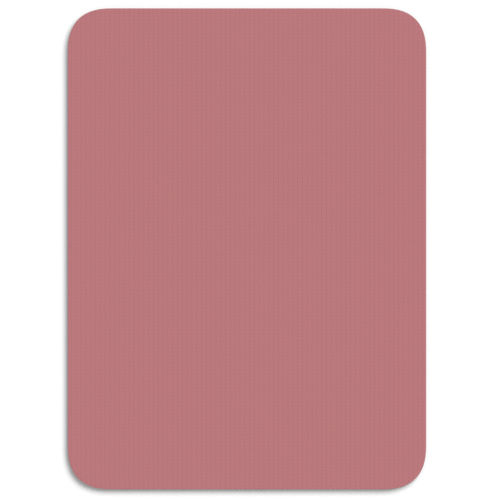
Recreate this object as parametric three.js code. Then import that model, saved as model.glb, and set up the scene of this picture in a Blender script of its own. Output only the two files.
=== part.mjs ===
// A small mouse pad: a knitted cloth, a thin bonding film and a foamed rubber base, laminated as one
// sheet and then die-cut to a rounded rectangle, so all three layers share one outline.
// Millimetres, +Z up, the long side along Y, the origin at the middle of the underside.

import * as THREE from 'three';

// The cut outline
const padWidth = 149;
const padLength = 200;
const cornerReach = 19; // how far a corner's curve runs back along each side
const cornerPower = 2.6; // power of the corner's superellipse: 2 is a plain arc, and more is squarer
const cornerSteps = 24;

// The layers, from the desk up
const rubberThickness = 2.4;
const filmThickness = 0.08;
const clothThickness = 0.5;
const layerClearance = 0.01; // between neighbouring layers

// The cut edges
const footRadius = 0.2; // the rubber's lower edge
const rimRadius = 0.15; // the cloth's upper edge, which the cutting die draws down
const roundingSteps = 5;

const filmBottom = rubberThickness + layerClearance;
const clothBottom = filmBottom + filmThickness + layerClearance;

const knittedCloth = new THREE.MeshStandardMaterial({
  name: 'knitted_cloth',
  color: '#ba787c',
  roughness: 0.9,
  metalness: 0,
});

const bondingGlue = new THREE.MeshStandardMaterial({
  name: 'bonding_glue',
  color: '#cfc8c0',
  roughness: 0.5,
  metalness: 0,
});

const foamedRubber = new THREE.MeshStandardMaterial({
  name: 'foamed_rubber',
  color: '#232325',
  roughness: 0.8,
  metalness: 0,
});

// One point of a corner's curve, moved in from the cut outline by inset, square to the curve.
// corner counts the four corners anticlockwise from the one at +X +Y, and turn is the direction
// from the corner's centre, in radians.
function cornerPoint(corner, turn, inset) {
  const sideX = corner === 0 || corner === 3 ? 1 : -1;
  const sideY = corner < 2 ? 1 : -1;
  const centre = new THREE.Vector2(padWidth / 2 - cornerReach, padLength / 2 - cornerReach);
  const along = new THREE.Vector2(Math.abs(Math.cos(turn)), Math.abs(Math.sin(turn)));
  const reach = cornerReach / (along.x ** cornerPower + along.y ** cornerPower) ** (1 / cornerPower);
  const square = new THREE.Vector2(along.x ** (cornerPower - 1), along.y ** (cornerPower - 1)).normalize();
  const point = centre.addScaledVector(along, reach).addScaledVector(square, -inset);
  return new THREE.Vector2(point.x * sideX, point.y * sideY);
}

// The outline anticlockwise. The straight sides are the gaps between one corner and the next.
function outline(inset) {
  const points = [];
  for (let corner = 0; corner < 4; corner += 1) {
    for (let step = 0; step <= cornerSteps; step += 1) {
      const turn = (corner + step / cornerSteps) * (Math.PI / 2);
      points.push(cornerPoint(corner, turn, inset));
    }
  }
  return points;
}

// A closed sheet through rings of the outline, listed from the lowest to the highest.
function sheetThrough(rings) {
  const loops = rings.map((ring) => outline(ring.inset));
  const around = loops[0].length;
  const positions = [];
  loops.forEach((loop, level) => {
    loop.forEach((point) => positions.push(point.x, point.y, rings[level].height));
  });

  const faces = [];
  for (let level = 0; level + 1 < loops.length; level += 1) {
    const low = level * around;
    const high = low + around;
    for (let i = 0; i < around; i += 1) {
      const next = (i + 1) % around;
      faces.push(low + i, low + next, high + next);
      faces.push(low + i, high + next, high + i);
    }
  }

  const top = (loops.length - 1) * around;
  THREE.ShapeUtils.triangulateShape(loops[0], []).forEach(([a, b, c]) => {
    faces.push(a, c, b);
    faces.push(top + a, top + b, top + c);
  });

  const geometry = new THREE.BufferGeometry();
  geometry.setAttribute('position', new THREE.Float32BufferAttribute(positions, 3));
  geometry.setIndex(faces);
  geometry.computeVertexNormals();
  return geometry;
}

// Rings of a quarter round on a lower edge, from the flat underside up to the cut side.
function roundedFoot(radius) {
  return Array.from({ length: roundingSteps + 1 }, (_, step) => {
    const turn = (step / roundingSteps) * (Math.PI / 2);
    return { inset: radius * (1 - Math.sin(turn)), height: radius * (1 - Math.cos(turn)) };
  });
}

// Rings of a quarter round on an upper edge, from the cut side in to the flat top.
function roundedRim(radius, thickness) {
  return roundedFoot(radius)
    .reverse()
    .map((ring) => ({ inset: ring.inset, height: thickness - ring.height }));
}

function rubberBase() {
  const cutTop = { inset: 0, height: rubberThickness };
  return new THREE.Mesh(sheetThrough([...roundedFoot(footRadius), cutTop]), foamedRubber);
}

function bondingFilm() {
  const cutBottom = { inset: 0, height: 0 };
  const cutTop = { inset: 0, height: filmThickness };
  return new THREE.Mesh(sheetThrough([cutBottom, cutTop]), bondingGlue);
}

function surfaceCloth() {
  const cutBottom = { inset: 0, height: 0 };
  return new THREE.Mesh(sheetThrough([cutBottom, ...roundedRim(rimRadius, clothThickness)]), knittedCloth);
}

// Puts a layer in the stack under its name, with its underside at the given height.
function addLayer(stack, name, layer, height) {
  layer.name = name;
  layer.position.z = height;
  stack.add(layer);
}

const mousePad = new THREE.Group();
mousePad.name = 'mouse_pad';
addLayer(mousePad, 'rubber_base', rubberBase(), 0);
addLayer(mousePad, 'bonding_film', bondingFilm(), filmBottom);
addLayer(mousePad, 'surface_cloth', surfaceCloth(), clothBottom);

export default mousePad;
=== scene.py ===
# A small mouse pad: knitted cloth, hot-melt film and foamed rubber, laminated and die-cut as one.
# Metres, +Z up, the long side along Y, the origin at the middle of the underside.

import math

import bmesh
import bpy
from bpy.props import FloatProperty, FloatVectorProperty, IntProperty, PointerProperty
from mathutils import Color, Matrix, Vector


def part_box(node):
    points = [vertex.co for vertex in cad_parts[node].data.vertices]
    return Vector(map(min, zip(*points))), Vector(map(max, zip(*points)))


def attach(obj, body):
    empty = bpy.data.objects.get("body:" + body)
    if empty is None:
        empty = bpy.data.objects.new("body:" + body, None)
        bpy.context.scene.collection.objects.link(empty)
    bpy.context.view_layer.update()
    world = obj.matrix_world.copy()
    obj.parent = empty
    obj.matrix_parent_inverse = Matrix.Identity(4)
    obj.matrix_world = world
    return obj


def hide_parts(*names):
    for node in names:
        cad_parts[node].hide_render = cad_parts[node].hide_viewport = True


bl_info = {
    "name": "Mouse pad",
    "version": (1, 0, 0),
    "blender": (4, 5, 0),
    "location": "3D View > Sidebar > Mouse pad",
    "description": "Models and dresses the layers of a small cloth mouse pad, and sets its stage",
    "category": "Add Mesh",
}

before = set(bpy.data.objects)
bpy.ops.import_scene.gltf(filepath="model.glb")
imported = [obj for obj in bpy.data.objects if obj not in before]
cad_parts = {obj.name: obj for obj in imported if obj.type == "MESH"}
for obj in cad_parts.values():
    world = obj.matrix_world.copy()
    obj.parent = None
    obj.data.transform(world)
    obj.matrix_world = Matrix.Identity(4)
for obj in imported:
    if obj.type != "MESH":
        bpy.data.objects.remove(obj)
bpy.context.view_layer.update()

EXPORT_MAP = "OFBake"  # the map that the export bakes a piece's material through, if it has one
ACROSS = Vector((1, 0, 0))
ALONG = Vector((0, 1, 0))
UP = Vector((0, 0, 1))
MERGE_DISTANCE = 1e-7
PLACE_TOLERANCE = 1e-6
LEAST_RISE = 0.5  # a face whose normal rises or falls by less belongs to the cut side
ARC_POWER = 2  # a plain arc's power as a superellipse

rubber_low, rubber_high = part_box("rubber_base")
film_low, film_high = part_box("bonding_film")
cloth_low, cloth_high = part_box("surface_cloth")


def linear(hex_code):
    """The sRGB colour of a hex code, such as #ba787c, as the linear RGBA that a shader reads."""
    channels = bytes.fromhex(hex_code.lstrip("#"))
    colour = Color([channel / 255 for channel in channels])
    return (*colour.from_srgb_to_scene_linear(), 1.0)


# Sizes and colours


class PadOutline(bpy.types.PropertyGroup):
    """The cut outline, which all the layers share"""

    width: FloatProperty(
        name="Width",
        description="Short side of the pad, along X",
        default=cloth_high.x - cloth_low.x,
        subtype="DISTANCE",
    )
    length: FloatProperty(
        name="Length",
        description="Long side of the pad, along Y",
        default=cloth_high.y - cloth_low.y,
        subtype="DISTANCE",
    )
    corner_reach: FloatProperty(
        name="Corner reach",
        description="How far a corner's curve runs back along each side",
        default=0.019,
        subtype="DISTANCE",
    )
    corner_power: FloatProperty(
        name="Corner power",
        description="Power of the corner's superellipse: 2 is a plain arc, and more is squarer",
        default=2.6,
        min=1.0,
    )
    corner_segments: IntProperty(
        name="Corner segments",
        description="Straight steps in a corner's curve",
        default=24,
        min=1,
    )


class ClothFinish(bpy.types.PropertyGroup):
    """The knitted polyester working surface"""

    rim_radius: FloatProperty(
        name="Rim radius",
        description="Rounding of the upper edge, which the cutting die draws down",
        default=0.00015,
        subtype="DISTANCE",
    )
    rim_segments: IntProperty(
        name="Rim segments",
        description="Straight steps in the rim's rounding",
        default=6,
        min=1,
    )
    rim_margin: FloatProperty(
        name="Rim margin",
        description="Band of the top inside the rounding, where its shading turns level",
        default=0.001,
        subtype="DISTANCE",
    )
    wale_pitch: FloatProperty(
        name="Wale pitch",
        description="Drawn width of a column of stitches. The real one is about 0.5 mm",
        default=0.0020,
        subtype="DISTANCE",
    )
    course_pitch: FloatProperty(
        name="Course pitch",
        description="Drawn height of a row of stitches. The real one is about 0.4 mm",
        default=0.0015,
        subtype="DISTANCE",
    )
    yarn_relief: FloatProperty(
        name="Yarn relief",
        description="How far a stitch stands above the groove beside it",
        default=0.00010,
        subtype="DISTANCE",
    )
    crest_colour: FloatVectorProperty(
        name="Crest colour",
        description="Dyed yarn where a stitch stands proud",
        size=4,
        subtype="COLOR",
        default=linear("#c07c80"),
    )
    # Painted shade: the yarn in the grooves is darkened for the shade between the stitches.
    groove_shade_colour: FloatVectorProperty(
        name="Groove colour",
        description="Dyed yarn in the grooves between stitches",
        size=4,
        subtype="COLOR",
        default=linear("#ae6c70"),
    )
    cut_colour: FloatVectorProperty(
        name="Cut colour",
        description="Yarn ends along the cut edge, which take less dye",
        size=4,
        subtype="COLOR",
        default=linear("#c88e90"),
    )


class FilmFinish(bpy.types.PropertyGroup):
    """The hot-melt film between the cloth and the rubber"""

    edge_radius: FloatProperty(
        name="Edge radius",
        description="Rounding of the glue's edge, under half its thickness",
        default=0.00003,
        subtype="DISTANCE",
    )
    edge_segments: IntProperty(
        name="Edge segments",
        description="Straight steps in the edge's rounding",
        default=3,
        min=1,
    )
    colour: FloatVectorProperty(
        name="Colour",
        description="Set hot-melt glue",
        size=4,
        subtype="COLOR",
        default=linear("#cfc8c0"),
    )


class RubberFinish(bpy.types.PropertyGroup):
    """The foamed rubber base, its cut side and its gripping underside"""

    foot_radius: FloatProperty(
        name="Foot radius",
        description="Rounding of the lower edge",
        default=0.0002,
        subtype="DISTANCE",
    )
    foot_segments: IntProperty(
        name="Foot segments",
        description="Straight steps in the foot's rounding",
        default=3,
        min=1,
    )
    waist_depth: FloatProperty(
        name="Waist depth",
        description="How far the cut side draws in at mid height, where the foam gave way to the die",
        default=0.00014,
        subtype="DISTANCE",
    )
    waist_rings: IntProperty(
        name="Waist rings",
        description="Rings of the cut side that follow the waist. An odd number has one at mid height",
        default=5,
        min=1,
    )
    net_pitch: FloatProperty(
        name="Net pitch",
        description="Distance between neighbouring ridges of the underside's net",
        default=0.0026,
        subtype="DISTANCE",
    )
    net_angle: FloatProperty(
        name="Net angle",
        description="Angle of the ridges to the short side",
        default=math.radians(35),
        subtype="ANGLE",
    )
    ridge_width: FloatProperty(
        name="Ridge width",
        description="Width of a ridge where it touches the desk",
        default=0.0006,
        subtype="DISTANCE",
    )
    pocket_depth: FloatProperty(
        name="Pocket depth",
        description="Depth of the lozenge pockets between the ridges",
        default=0.00025,
        subtype="DISTANCE",
    )
    pocket_draft: FloatProperty(
        name="Pocket draft",
        description="How far a pocket's wall leans in over its depth",
        default=0.0002,
        subtype="DISTANCE",
    )
    skin_colour: FloatVectorProperty(
        name="Skin colour",
        description="Moulded skin of the rubber's underside",
        size=4,
        subtype="COLOR",
        default=linear("#262628"),
    )
    bloom_colour: FloatVectorProperty(
        name="Bloom colour",
        description="Faint pale bloom that rubber gets in its recesses",
        size=4,
        subtype="COLOR",
        default=linear("#3f3e40"),
    )
    foam_colour: FloatVectorProperty(
        name="Foam colour",
        description="Walls of the foam's cells, along the cut side",
        size=4,
        subtype="COLOR",
        default=linear("#363639"),
    )
    # Painted shade: the dark colour put in the open cells, where shade falls.
    pore_shade_colour: FloatVectorProperty(
        name="Pore colour",
        description="Depth of a cut cell",
        size=4,
        subtype="COLOR",
        default=linear("#121214"),
    )


class StageSet(bpy.types.PropertyGroup):
    """The floor, the light and the camera"""

    frame_pixels: FloatProperty(
        name="Frame",
        description="Side of the square picture, in pixels",
        default=500,
    )
    left_pixel: FloatProperty(
        name="Left edge",
        description="Picture column of the pad's left edge",
        default=67.88,
    )
    right_pixel: FloatProperty(
        name="Right edge",
        description="Picture column of the pad's right edge",
        default=426.12,
    )
    top_pixel: FloatProperty(
        name="Top edge",
        description="Picture row of the pad's upper edge",
        default=8.30,
    )
    bottom_pixel: FloatProperty(
        name="Bottom edge",
        description="Picture row of the pad's lower edge",
        default=489.38,
    )
    lens: FloatProperty(
        name="Lens",
        description="Focal length in millimetres, long so that the pad hides little of its shadow",
        default=600,
    )
    floor_size: FloatProperty(
        name="Floor size",
        description="Side of the square floor",
        default=6.0,
        subtype="DISTANCE",
    )
    floor_gap: FloatProperty(
        name="Floor gap",
        description="Hair's breadth between the ridges and the floor, so that they share no plane",
        default=0.00002,
        subtype="DISTANCE",
    )
    floor_colour: FloatVectorProperty(
        name="Floor colour",
        description="Matt white floor",
        size=4,
        subtype="COLOR",
        default=linear("#f3f3f3"),
    )
    floor_lift: FloatProperty(
        name="Floor lift",
        description="Brightness added to the floor as the camera sees it, so that it reads as white",
        default=0.15,
    )
    light_slope: FloatProperty(
        name="Light slope",
        description="Angle of the light's middle from straight overhead",
        default=math.radians(36.5),
        subtype="ANGLE",
    )
    light_bearing: FloatProperty(
        name="Light bearing",
        description="Bearing of the light, from the right side round towards the top",
        default=math.radians(49),
        subtype="ANGLE",
    )
    light_spread: FloatProperty(
        name="Light spread",
        description="Angle that the round soft light fills, which sets how soft the shadow is",
        default=math.radians(41),
        subtype="ANGLE",
    )
    light_level: FloatProperty(
        name="Light level",
        description="Share of its written colour that a level surface gets from the soft light",
        default=0.68,
        subtype="FACTOR",
    )
    fill_level: FloatProperty(
        name="Fill level",
        description="Share of its written colour that a surface gets evenly from all round",
        default=0.32,
        subtype="FACTOR",
    )


# Materials


def add_node(tree, kind, inputs=None, **settings):
    """Adds a node. Each input takes a value, an output, or a node for that node's first output."""
    node = tree.nodes.new(kind)
    for name, value in settings.items():
        setattr(node, name, value)
    for socket, value in (inputs or {}).items():
        if isinstance(value, bpy.types.Node):
            value = value.outputs[0]
        if isinstance(value, bpy.types.NodeSocket):
            tree.links.new(value, node.inputs[socket])
        else:
            node.inputs[socket].default_value = value
    return node


def new_material(name):
    """An empty material with this name, its node tree, and the place on the piece in metres."""
    material = bpy.data.materials.new(name)
    material.use_nodes = True
    tree = material.node_tree
    tree.nodes.clear()
    return material, tree, add_node(tree, "ShaderNodeTexCoord").outputs["Object"]


def knitted_polyester(finish):
    # Polyester jersey, circular-knitted from textured filament yarn and piece-dyed: columns of fine
    # V-shaped stitches, quite matt, with a soft pale sheen at low angles from the loose filaments.
    # A real stitch is about 0.5 mm wide and too fine for the picture, so it is drawn larger.
    wander = 0.00008
    wander_grain = 0.005
    noise_middle = 0.5
    stitch_lean = 0.9
    middle_turn = 0.5
    filament_grain = 0.0005
    filament_share = 0.3
    mottle_grain = 0.018
    mottle_range = (0.99, 1.01)

    material, tree, place = new_material("Knitted polyester")
    drift = add_node(tree, "ShaderNodeTexNoise", {"Vector": place, "Scale": 1 / wander_grain})
    centred = add_node(
        tree,
        "ShaderNodeVectorMath",
        {0: drift.outputs["Color"], 1: (noise_middle, noise_middle, noise_middle)},
        operation="SUBTRACT",
    )
    moved = add_node(
        tree,
        "ShaderNodeVectorMath",
        {0: centred, 1: (wander, wander, wander), 2: place},
        operation="MULTIPLY_ADD",
    )
    yarn = add_node(tree, "ShaderNodeSeparateXYZ", {0: moved})

    # Each column has two legs, which lean apart as they rise. leg runs from 0 in the V's middle to
    # half a turn between two columns, where the groove is deeper than in the middle.
    columns = add_node(
        tree,
        "ShaderNodeMath",
        {0: yarn.outputs["X"], 1: math.tau / finish.wale_pitch},
        operation="MULTIPLY",
    )
    leg = add_node(tree, "ShaderNodeMath", {0: columns, 1: math.pi}, operation="PINGPONG")
    leg_turn = add_node(
        tree,
        "ShaderNodeMapRange",
        {"Value": leg, "From Max": math.pi, "To Min": middle_turn, "To Max": math.pi},
    )
    leg_round = add_node(tree, "ShaderNodeMath", {0: leg_turn}, operation="SINE")
    rows = add_node(
        tree,
        "ShaderNodeMath",
        {0: yarn.outputs["Y"], 1: math.pi / finish.course_pitch},
        operation="MULTIPLY",
    )
    leaning = add_node(
        tree, "ShaderNodeMath", {0: leg, 1: -stitch_lean, 2: rows}, operation="MULTIPLY_ADD"
    )
    wave = add_node(tree, "ShaderNodeMath", {0: leaning}, operation="SINE")
    row_round = add_node(tree, "ShaderNodeMath", {0: wave}, operation="ABSOLUTE")
    both = add_node(tree, "ShaderNodeMath", {0: leg_round, 1: row_round}, operation="MULTIPLY")
    stitch = add_node(tree, "ShaderNodeMath", {0: both}, operation="SQRT")

    # Loose filaments blur the stitches, and the dye takes a little unevenly.
    filaments = add_node(
        tree, "ShaderNodeTexNoise", {"Vector": place, "Scale": 1 / filament_grain}
    )
    height = add_node(
        tree, "ShaderNodeMix", {"Factor": filament_share, "A": stitch, "B": filaments}
    )
    # The grooves are painted darker than the crests by the stitch's height: painted shade between the
    # stitches.
    dye_and_groove_shade = add_node(
        tree,
        "ShaderNodeMix",
        {"Factor": height, 6: finish.groove_shade_colour, 7: finish.crest_colour},
        data_type="RGBA",
    )
    mottle = add_node(tree, "ShaderNodeTexNoise", {"Vector": place, "Scale": 1 / mottle_grain})
    shade = add_node(
        tree,
        "ShaderNodeMapRange",
        {"Value": mottle, "To Min": mottle_range[0], "To Max": mottle_range[1]},
    )
    colour = add_node(
        tree, "ShaderNodeVectorMath", {0: dye_and_groove_shade.outputs[2], "Scale": shade}, operation="SCALE"
    )
    relief = add_node(
        tree, "ShaderNodeBump", {"Height": height, "Distance": finish.yarn_relief, "Strength": 0.6}
    )
    cloth = add_node(
        tree,
        "ShaderNodeBsdfPrincipled",
        {
            "Base Color": colour,
            "Normal": relief,
            "Roughness": 0.88,
            "IOR": 1.54,
            "Specular IOR Level": 0.2,
            "Sheen Weight": 0.18,
            "Sheen Roughness": 0.45,
            "Sheen Tint": linear("#e9c6c6"),
        },
    )
    add_node(tree, "ShaderNodeOutputMaterial", {"Surface": cloth})
    return material


def cut_yarn_ends(finish):
    # The same jersey seen on its cut edge: a fur of sheared yarn ends, a little paler than the face
    # because dye and heat setting reach the yarn's middle less, and fully matt.
    end_grain = 0.0003
    shade_range = (0.72, 1.08)

    material, tree, place = new_material("Cut yarn ends")
    ends = add_node(
        tree, "ShaderNodeTexNoise", {"Vector": place, "Scale": 1 / end_grain, "Detail": 4}
    )
    shade = add_node(
        tree,
        "ShaderNodeMapRange",
        {"Value": ends, "To Min": shade_range[0], "To Max": shade_range[1]},
    )
    colour = add_node(
        tree,
        "ShaderNodeVectorMath",
        {0: finish.cut_colour[:3], "Scale": shade},
        operation="SCALE",
    )
    relief = add_node(
        tree, "ShaderNodeBump", {"Height": ends, "Distance": finish.yarn_relief, "Strength": 0.8}
    )
    edge = add_node(
        tree,
        "ShaderNodeBsdfPrincipled",
        {
            "Base Color": colour,
            "Normal": relief,
            "Roughness": 0.95,
            "IOR": 1.54,
            "Specular IOR Level": 0.15,
            "Sheen Weight": 0.25,
        },
    )
    add_node(tree, "ShaderNodeOutputMaterial", {"Surface": edge})
    return material


def hot_melt_film(finish):
    # Thermoplastic glue, laid as a film and pressed hot: milky, a little waxy, with faint streaks
    # where it flowed.
    streak_grain = 0.0012
    shade_range = (0.86, 1.04)
    roughness_range = (0.32, 0.5)

    material, tree, place = new_material("Hot-melt film")
    flow = add_node(tree, "ShaderNodeTexNoise", {"Vector": place, "Scale": 1 / streak_grain})
    shade = add_node(
        tree,
        "ShaderNodeMapRange",
        {"Value": flow, "To Min": shade_range[0], "To Max": shade_range[1]},
    )
    roughness = add_node(
        tree,
        "ShaderNodeMapRange",
        {"Value": flow, "To Min": roughness_range[0], "To Max": roughness_range[1]},
    )
    colour = add_node(
        tree, "ShaderNodeVectorMath", {0: finish.colour[:3], "Scale": shade}, operation="SCALE"
    )
    film = add_node(
        tree,
        "ShaderNodeBsdfPrincipled",
        {"Base Color": colour, "Roughness": roughness, "IOR": 1.48},
    )
    add_node(tree, "ShaderNodeOutputMaterial", {"Surface": film})
    return material


def moulded_rubber_skin(finish):
    # Natural rubber foam, cured against an embossed belt: a dense charcoal skin, satin where the
    # ridges rub the desk, duller in the pockets, where a faint pale bloom gathers.
    bloom_grain = 0.012
    grit_grain = 0.0004
    grit_relief = 0.00002
    roughness_range = (0.5, 0.82)

    material, tree, place = new_material("Moulded rubber skin")
    height = add_node(tree, "ShaderNodeSeparateXYZ", {0: place}).outputs["Z"]
    recess = add_node(
        tree,
        "ShaderNodeMapRange",
        {"Value": height, "From Min": rubber_low.z, "From Max": rubber_low.z + finish.pocket_depth},
    )
    patches = add_node(
        tree, "ShaderNodeTexNoise", {"Vector": place, "Scale": 1 / bloom_grain, "Detail": 4}
    )
    bloom = add_node(tree, "ShaderNodeMath", {0: recess, 1: patches}, operation="MULTIPLY")
    colour = add_node(
        tree,
        "ShaderNodeMix",
        {"Factor": bloom, 6: finish.skin_colour, 7: finish.bloom_colour},
        data_type="RGBA",
    )
    roughness = add_node(
        tree,
        "ShaderNodeMapRange",
        {"Value": recess, "To Min": roughness_range[0], "To Max": roughness_range[1]},
    )
    grit = add_node(tree, "ShaderNodeTexNoise", {"Vector": place, "Scale": 1 / grit_grain})
    relief = add_node(
        tree, "ShaderNodeBump", {"Height": grit, "Distance": grit_relief, "Strength": 0.7}
    )
    rubber = add_node(
        tree,
        "ShaderNodeBsdfPrincipled",
        {
            "Base Color": colour.outputs[2],
            "Normal": relief,
            "Roughness": roughness,
            "IOR": 1.52,
            "Specular IOR Level": 0.4,
        },
    )
    add_node(tree, "ShaderNodeOutputMaterial", {"Surface": rubber})
    return material


def cut_rubber_foam(finish):
    # The same foam sliced through by the die: open cells as small pits in matt charcoal walls,
    # with painted shade darkening the pits. Real cells are 0.1 to 0.3 mm and too fine for the
    # picture, so they are drawn a little larger.
    cell_size = 0.0004
    cell_relief = 0.00008
    open_share = 0.5

    material, tree, place = new_material("Cut rubber foam")
    cells = add_node(tree, "ShaderNodeTexVoronoi", {"Vector": place, "Scale": 1 / cell_size})
    wall = add_node(
        tree,
        "ShaderNodeMapRange",
        {"Value": cells, "From Max": open_share},
        interpolation_type="SMOOTHSTEP",
    )
    # The open cells are painted dark: painted shade in the pits.
    colour = add_node(
        tree,
        "ShaderNodeMix",
        {"Factor": wall, 6: finish.pore_shade_colour, 7: finish.foam_colour},
        data_type="RGBA",
    )
    relief = add_node(
        tree, "ShaderNodeBump", {"Height": wall, "Distance": cell_relief, "Strength": 0.8}
    )
    rubber = add_node(
        tree,
        "ShaderNodeBsdfPrincipled",
        {
            "Base Color": colour.outputs[2],
            "Normal": relief,
            "Roughness": 0.85,
            "IOR": 1.52,
            "Specular IOR Level": 0.3,
        },
    )
    add_node(tree, "ShaderNodeOutputMaterial", {"Surface": rubber})
    return material


def seen_directly(tree):
    """1 for rays from the camera and mirrored or refracted ones, 0 for those that light things."""
    path = add_node(tree, "ShaderNodeLightPath").outputs
    mirrored = add_node(
        tree,
        "ShaderNodeMath",
        {0: path["Is Camera Ray"], 1: path["Is Glossy Ray"]},
        operation="MAXIMUM",
    )
    return add_node(
        tree, "ShaderNodeMath", {0: mirrored, 1: path["Is Transmission Ray"]}, operation="MAXIMUM"
    )


def matt_white_floor(stage):
    # Matt white paint, lifted a little where it is seen, so that it reads as white round the shadow.
    material, tree, _ = new_material("Matt white floor")
    paint = add_node(tree, "ShaderNodeBsdfDiffuse", {"Color": stage.floor_colour})
    lift = add_node(
        tree, "ShaderNodeMath", {0: seen_directly(tree), 1: stage.floor_lift}, operation="MULTIPLY"
    )
    glow = add_node(tree, "ShaderNodeEmission", {"Strength": lift})
    both = add_node(tree, "ShaderNodeAddShader", {0: paint, 1: glow})
    add_node(tree, "ShaderNodeOutputMaterial", {"Surface": both})
    return material


# Modelling


def bevel_profile(power):
    """The setting that gives a bevel the curve of a superellipse of this power."""
    return 2 ** (-2 / power)


def flat_face(name, width, length, height):
    """A new piece, left in edit mode: one level rectangle of this size, at this height."""
    bpy.ops.object.select_all(action="DESELECT")
    bpy.ops.mesh.primitive_plane_add(size=1, calc_uvs=False, location=(0, 0, 0))
    piece = bpy.context.object
    piece.name = name
    piece.data.name = name
    bpy.ops.object.mode_set(mode="EDIT")
    bpy.ops.transform.resize(value=(width, length, 1))
    bpy.ops.transform.translate(value=(0, 0, height))
    return piece


def outlined_slab(name, outline, low, high):
    """A new piece, left in edit mode: a slab with the cut outline between these heights."""
    if outline.corner_reach > min(outline.width, outline.length) / 2:
        raise ValueError("the corners reach past the middle of a side")
    piece = flat_face(name, outline.width, outline.length, low)
    bpy.ops.mesh.bevel(
        offset_type="OFFSET",
        offset=outline.corner_reach,
        segments=outline.corner_segments,
        profile=bevel_profile(outline.corner_power),
        affect="VERTICES",
    )
    bpy.ops.mesh.extrude_region_move(TRANSFORM_OT_translate={"value": (0, 0, high - low)})
    bpy.ops.mesh.select_all(action="SELECT")
    bpy.ops.mesh.normals_make_consistent(inside=False)
    # Each side is cut at its middle, so that it can be laid out in two strips.
    for middle in (ACROSS, ALONG):
        select_faces(piece, is_cut_side)
        bpy.ops.mesh.bisect(plane_co=(0, 0, 0), plane_no=middle, threshold=MERGE_DISTANCE)
    return piece


def is_cut_side(face):
    return abs(face.normal.z) < LEAST_RISE


def select_faces(piece, wanted):
    """Selects only the faces for which wanted holds."""
    bpy.ops.mesh.select_mode(type="FACE")
    bpy.ops.mesh.select_all(action="DESELECT")
    mesh = bmesh.from_edit_mesh(piece.data)
    for face in mesh.faces:
        face.select_set(wanted(face))
    bmesh.update_edit_mesh(piece.data)


def cut_across(point, normal):
    """Cuts new edges where the plane meets what is shown, and takes nothing away."""
    bpy.ops.mesh.select_all(action="SELECT")
    bpy.ops.mesh.bisect(plane_co=point, plane_no=normal, threshold=MERGE_DISTANCE)


def select_level(piece, height):
    """Selects only the edges and faces that lie level at this height."""
    bpy.ops.mesh.select_mode(type="EDGE")
    bpy.ops.mesh.select_all(action="DESELECT")
    mesh = bmesh.from_edit_mesh(piece.data)
    for edge in mesh.edges:
        edge.select_set(all(abs(end.co.z - height) < PLACE_TOLERANCE for end in edge.verts))
    mesh.select_flush(True)
    bmesh.update_edit_mesh(piece.data)


def round_edge(piece, height, radius, segments):
    """Rounds the slab's edge at this height."""
    select_level(piece, height)
    bpy.ops.mesh.bevel(
        offset=radius, segments=segments, profile=bevel_profile(ARC_POWER), affect="EDGES"
    )


def close_piece(piece, crease):
    """Merges doubles, turns the faces outwards and smooths the edges that turn by less than crease.

    Leaves the piece in object mode.
    """
    bpy.ops.mesh.select_all(action="SELECT")
    bpy.ops.mesh.remove_doubles(threshold=MERGE_DISTANCE)
    bpy.ops.mesh.normals_make_consistent(inside=False)
    mesh = bmesh.from_edit_mesh(piece.data)
    if not all(edge.is_manifold for edge in mesh.edges):
        raise RuntimeError(f"{piece.name} isn't closed")
    bpy.ops.object.mode_set(mode="OBJECT")
    bpy.ops.object.shade_smooth_by_angle(angle=crease)


def lay_flat(piece, outline, seen):
    """Lays the piece's faces out on a map for the export, with no face over another.

    The face that is seen, on the side that seen points to, takes most of the map. The cut side lies
    beside it in eight strips, from the middle of each side to the next corner, and larger because
    its grain is finer. The bonded face, which nothing shows, comes last and small.
    """
    side_scale = 2
    bonded_scale = 0.04
    gap = 0.0008
    strips = 8

    mesh = piece.data
    heights = [vertex.co.z for vertex in mesh.vertices]
    low = min(heights)
    strip_pitch = side_scale * (max(heights) - low) + gap
    side_start = outline.width + gap
    bonded_start = side_start + strips * strip_pitch
    map_size = outline.length + 2 * gap
    laid = mesh.uv_layers.new(name=EXPORT_MAP)
    for face in mesh.polygons:
        if is_cut_side(face):
            axis = max((ACROSS, ALONG), key=lambda axis: abs(axis.dot(face.normal)))
            facing = math.copysign(1, axis.dot(face.normal)) * axis
            right = UP.cross(facing)
            before_middle = right.dot(face.center) < 0
            side = 2 * (axis is ALONG) + (axis.dot(facing) > 0)
            strip = 2 * side + before_middle
            scale = side_scale
            start_right = before_middle * scale * outline.length / 2
            start_up = side_start + strip * strip_pitch - scale * low
        else:
            facing = math.copysign(1, face.normal.z) * UP
            right = ALONG
            is_seen = facing.dot(seen) > 0
            scale = 1 if is_seen else bonded_scale
            start_right = scale * outline.length / 2
            start_up = scale * outline.width / 2 + (0 if is_seen else bonded_start)
        up = facing.cross(right)
        for corner in face.loop_indices:
            point = scale * mesh.vertices[mesh.loops[corner].vertex_index].co
            place = Vector((start_right + right.dot(point), start_up + up.dot(point)))
            laid.data[corner].uv = (place + Vector((gap, gap))) / map_size


def stand_for(piece, node):
    """Makes the piece ride on the pad in place of the frame's node."""
    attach(piece, "root")
    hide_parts(node)


class PAD_OT_surface_cloth(bpy.types.Operator):
    """Models the knitted cloth, with the rim that the cutting die drew down"""

    bl_idname = "pad.surface_cloth"
    bl_label = "Surface cloth"

    def execute(self, context):
        outline = context.scene.pad_outline
        finish = context.scene.pad_cloth
        crease = math.radians(50)

        cloth = outlined_slab("knitted_cloth", outline, cloth_low.z, cloth_high.z)
        round_edge(cloth, cloth_high.z, finish.rim_radius, finish.rim_segments)
        select_level(cloth, cloth_high.z)
        bpy.ops.mesh.inset(thickness=finish.rim_margin)
        close_piece(cloth, crease)
        cloth.data.materials.append(knitted_polyester(finish))
        cloth.data.materials.append(cut_yarn_ends(finish))
        for face in cloth.data.polygons:
            face.material_index = int(is_cut_side(face))
        lay_flat(cloth, outline, UP)

        stand_for(cloth, "surface_cloth")
        return {"FINISHED"}


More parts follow.
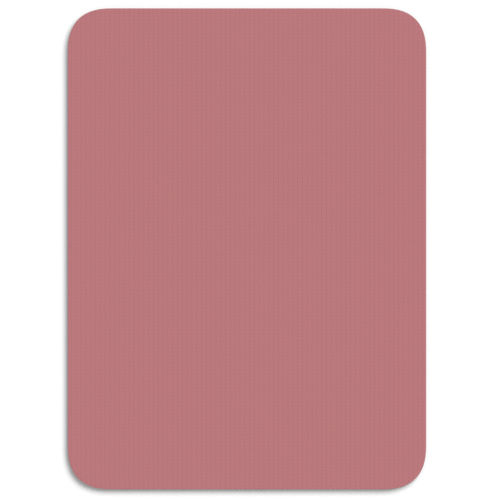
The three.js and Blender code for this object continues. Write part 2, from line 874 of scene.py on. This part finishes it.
class PAD_OT_bonding_film(bpy.types.Operator):
    """Models the hot-melt film, with its edge set round where the glue was pressed out"""

    bl_idname = "pad.bonding_film"
    bl_label = "Bonding film"

    def execute(self, context):
        finish = context.scene.pad_film
        crease = math.radians(50)

        film = outlined_slab("hot_melt_film", context.scene.pad_outline, film_low.z, film_high.z)
        for height in (film_low.z, film_high.z):
            round_edge(film, height, finish.edge_radius, finish.edge_segments)
        close_piece(film, crease)
        film.data.materials.append(hot_melt_film(finish))
        stand_for(film, "bonding_film")
        return {"FINISHED"}


class PAD_OT_rubber_base(bpy.types.Operator):
    """Models the foamed rubber base: an embossed sheet, cut by a die whose side is drawn in"""

    bl_idname = "pad.rubber_base"
    bl_label = "Rubber base"

    def execute(self, context):
        outline = context.scene.pad_outline
        finish = context.scene.pad_rubber
        crease = math.radians(60)
        skin = moulded_rubber_skin(finish)
        foam = cut_rubber_foam(finish)

        rubber = self.emboss_sheet(outline, finish)
        die = self.shape_die(outline, finish)
        for piece in (rubber, die):
            piece.data.materials.append(skin)
            piece.data.materials.append(foam)
        for face in die.data.polygons:
            face.material_index = 1

        cut = rubber.modifiers.new("die cut", "BOOLEAN")
        cut.operation = "INTERSECT"
        cut.solver = "MANIFOLD"
        cut.object = die
        context.view_layer.objects.active = rubber
        bpy.ops.object.modifier_apply(modifier=cut.name)
        bpy.data.meshes.remove(die.data)

        bpy.ops.object.select_all(action="DESELECT")
        rubber.select_set(True)
        bpy.ops.object.mode_set(mode="EDIT")
        close_piece(rubber, crease)
        lay_flat(rubber, outline, -UP)
        stand_for(rubber, "rubber_base")
        return {"FINISHED"}

    def emboss_sheet(self, outline, finish):
        """A closed sheet, wider and thicker than the pad, with the net of ridges underneath."""
        spare_cells = 2
        spare = 2 * spare_cells * finish.net_pitch
        width = outline.width + spare
        length = outline.length + spare
        sheet = flat_face("foamed_rubber_base", width, length, rubber_low.z)
        bpy.ops.mesh.flip_normals()
        for side in (1, -1):
            across = Vector((side * math.sin(finish.net_angle), math.cos(finish.net_angle), 0))
            reach = (abs(across.x) * width + across.y * length) / 2
            lines = int(reach / finish.net_pitch)
            for line in range(-lines, lines + 1):
                cut_across(across * line * finish.net_pitch, across)
        self.sink_pockets(sheet, finish)

        bpy.ops.mesh.select_mode(type="EDGE")
        bpy.ops.mesh.select_all(action="DESELECT")
        bpy.ops.mesh.select_non_manifold()
        rise = (rubber_high.z - rubber_low.z) + finish.pocket_depth
        bpy.ops.mesh.extrude_edges_move(TRANSFORM_OT_translate={"value": (0, 0, rise)})
        bpy.ops.mesh.edge_face_add()
        close_piece(sheet, 0)
        return sheet

    def sink_pockets(self, sheet, finish):
        """Sinks a pocket in each whole cell of the net."""
        whole_cell = finish.net_pitch**2 / math.sin(2 * finish.net_angle)
        least_share = 0.99
        select_faces(sheet, lambda cell: cell.calc_area() > least_share * whole_cell)
        bpy.ops.mesh.inset(use_individual=True, thickness=finish.ridge_width / 2)
        bpy.ops.mesh.inset(
            use_individual=True, thickness=finish.pocket_draft, depth=-finish.pocket_depth
        )

    def shape_die(self, outline, finish):
        """The solid that the die leaves: the outline, with a rounded foot and a drawn-in side."""
        overrun_share = 0.1
        overrun = overrun_share * finish.foot_radius
        thickness = rubber_high.z - rubber_low.z
        half = thickness / 2
        middle = rubber_low.z + half
        low = rubber_low.z - overrun
        die = outlined_slab("die", outline, low, rubber_high.z)
        for ring in range(1, finish.waist_rings + 1):
            height = rubber_low.z + thickness * ring / (finish.waist_rings + 1)
            cut_across((0, 0, height), UP)
        select_level(die, middle)
        bpy.ops.transform.shrink_fatten(
            value=-finish.waist_depth,
            use_proportional_edit=True,
            proportional_edit_falloff="INVERSE_SQUARE",
            proportional_size=half,
        )
        round_edge(die, low, finish.foot_radius, finish.foot_segments)
        close_piece(die, 0)
        return die


class PAD_OT_stage(bpy.types.Operator):
    """Sets the white floor, the soft light from the upper right and the camera straight above"""

    bl_idname = "pad.stage"
    bl_label = "Stage"

    def execute(self, context):
        stage = context.scene.pad_stage
        self.lay_floor(stage)
        self.hang_light(context, stage)
        self.fill_world(context, stage)
        self.set_camera(context, stage)
        context.scene.view_settings.view_transform = "Standard"
        return {"FINISHED"}

    def lay_floor(self, stage):
        bpy.ops.object.select_all(action="DESELECT")
        bpy.ops.mesh.primitive_plane_add(
            size=stage.floor_size, location=(0, 0, rubber_low.z - stage.floor_gap)
        )
        floor = bpy.context.object
        floor.name = "floor"
        floor.data.materials.append(matt_white_floor(stage))

    def hang_light(self, context, stage):
        # A sun of strength pi straight overhead shows a level surface in its written colour.
        lamp = bpy.data.lights.new("soft_light", "SUN")
        lamp.energy = stage.light_level * math.pi / math.cos(stage.light_slope)
        lamp.angle = stage.light_spread
        light = bpy.data.objects.new("soft_light", lamp)
        context.scene.collection.objects.link(light)
        lean = math.sin(stage.light_slope)
        towards_light = Vector(
            (
                lean * math.cos(stage.light_bearing),
                lean * math.sin(stage.light_bearing),
                math.cos(stage.light_slope),
            )
        )
        light.location = towards_light
        light.rotation_euler = towards_light.to_track_quat("Z", "Y").to_euler()

    def fill_world(self, context, stage):
        world = bpy.data.worlds.new("white_room")
        world.use_nodes = True
        tree = world.node_tree
        tree.nodes.clear()
        strength = add_node(
            tree,
            "ShaderNodeMapRange",
            {"Value": seen_directly(tree), "To Min": stage.fill_level, "To Max": 1.0},
        )
        white = add_node(
            tree, "ShaderNodeBackground", {"Color": linear("#ffffff"), "Strength": strength}
        )
        add_node(tree, "ShaderNodeOutputWorld", {"Surface": white})
        context.scene.world = world

    def set_camera(self, context, stage):
        outline = context.scene.pad_outline
        pixel = outline.length / (stage.bottom_pixel - stage.top_pixel)
        middle_column = (stage.left_pixel + stage.right_pixel) / 2
        middle_row = (stage.top_pixel + stage.bottom_pixel) / 2
        view = bpy.data.cameras.new("overhead_camera")
        view.lens = stage.lens
        camera = bpy.data.objects.new("overhead_camera", view)
        context.scene.collection.objects.link(camera)
        camera.location = (
            (stage.frame_pixels / 2 - middle_column) * pixel,
            (middle_row - stage.frame_pixels / 2) * pixel,
            cloth_high.z + stage.frame_pixels * pixel * view.lens / view.sensor_width,
        )
        context.scene.camera = camera


class PAD_PT_pieces(bpy.types.Panel):
    """Lists the pad's pieces and its stage, and their sizes and colours"""

    bl_idname = "PAD_PT_pieces"
    bl_label = "Mouse pad"
    bl_space_type = "VIEW_3D"
    bl_region_type = "UI"
    bl_category = "Mouse pad"

    def draw(self, context):
        for operator in OPERATORS:
            self.layout.operator(operator.bl_idname)
        for name, group in GROUPS.items():
            sizes = self.layout.column()
            sizes.label(text=group.__doc__)
            for size in group.__annotations__:
                sizes.prop(getattr(context.scene, name), size)


GROUPS = {
    "pad_outline": PadOutline,
    "pad_cloth": ClothFinish,
    "pad_film": FilmFinish,
    "pad_rubber": RubberFinish,
    "pad_stage": StageSet,
}
OPERATORS = (PAD_OT_stage, PAD_OT_rubber_base, PAD_OT_bonding_film, PAD_OT_surface_cloth)


def register():
    for name, group in GROUPS.items():
        bpy.utils.register_class(group)
        setattr(bpy.types.Scene, name, PointerProperty(type=group))
    for operator in OPERATORS:
        bpy.utils.register_class(operator)
    bpy.utils.register_class(PAD_PT_pieces)


def unregister():
    bpy.utils.unregister_class(PAD_PT_pieces)
    for operator in reversed(OPERATORS):
        bpy.utils.unregister_class(operator)
    for name, group in reversed(GROUPS.items()):
        delattr(bpy.types.Scene, name)
        bpy.utils.unregister_class(group)


def main():
    register()
    bpy.ops.pad.stage()
    bpy.ops.pad.rubber_base()
    bpy.ops.pad.bonding_film()
    bpy.ops.pad.surface_cloth()


if __name__ == "__main__":
    main()
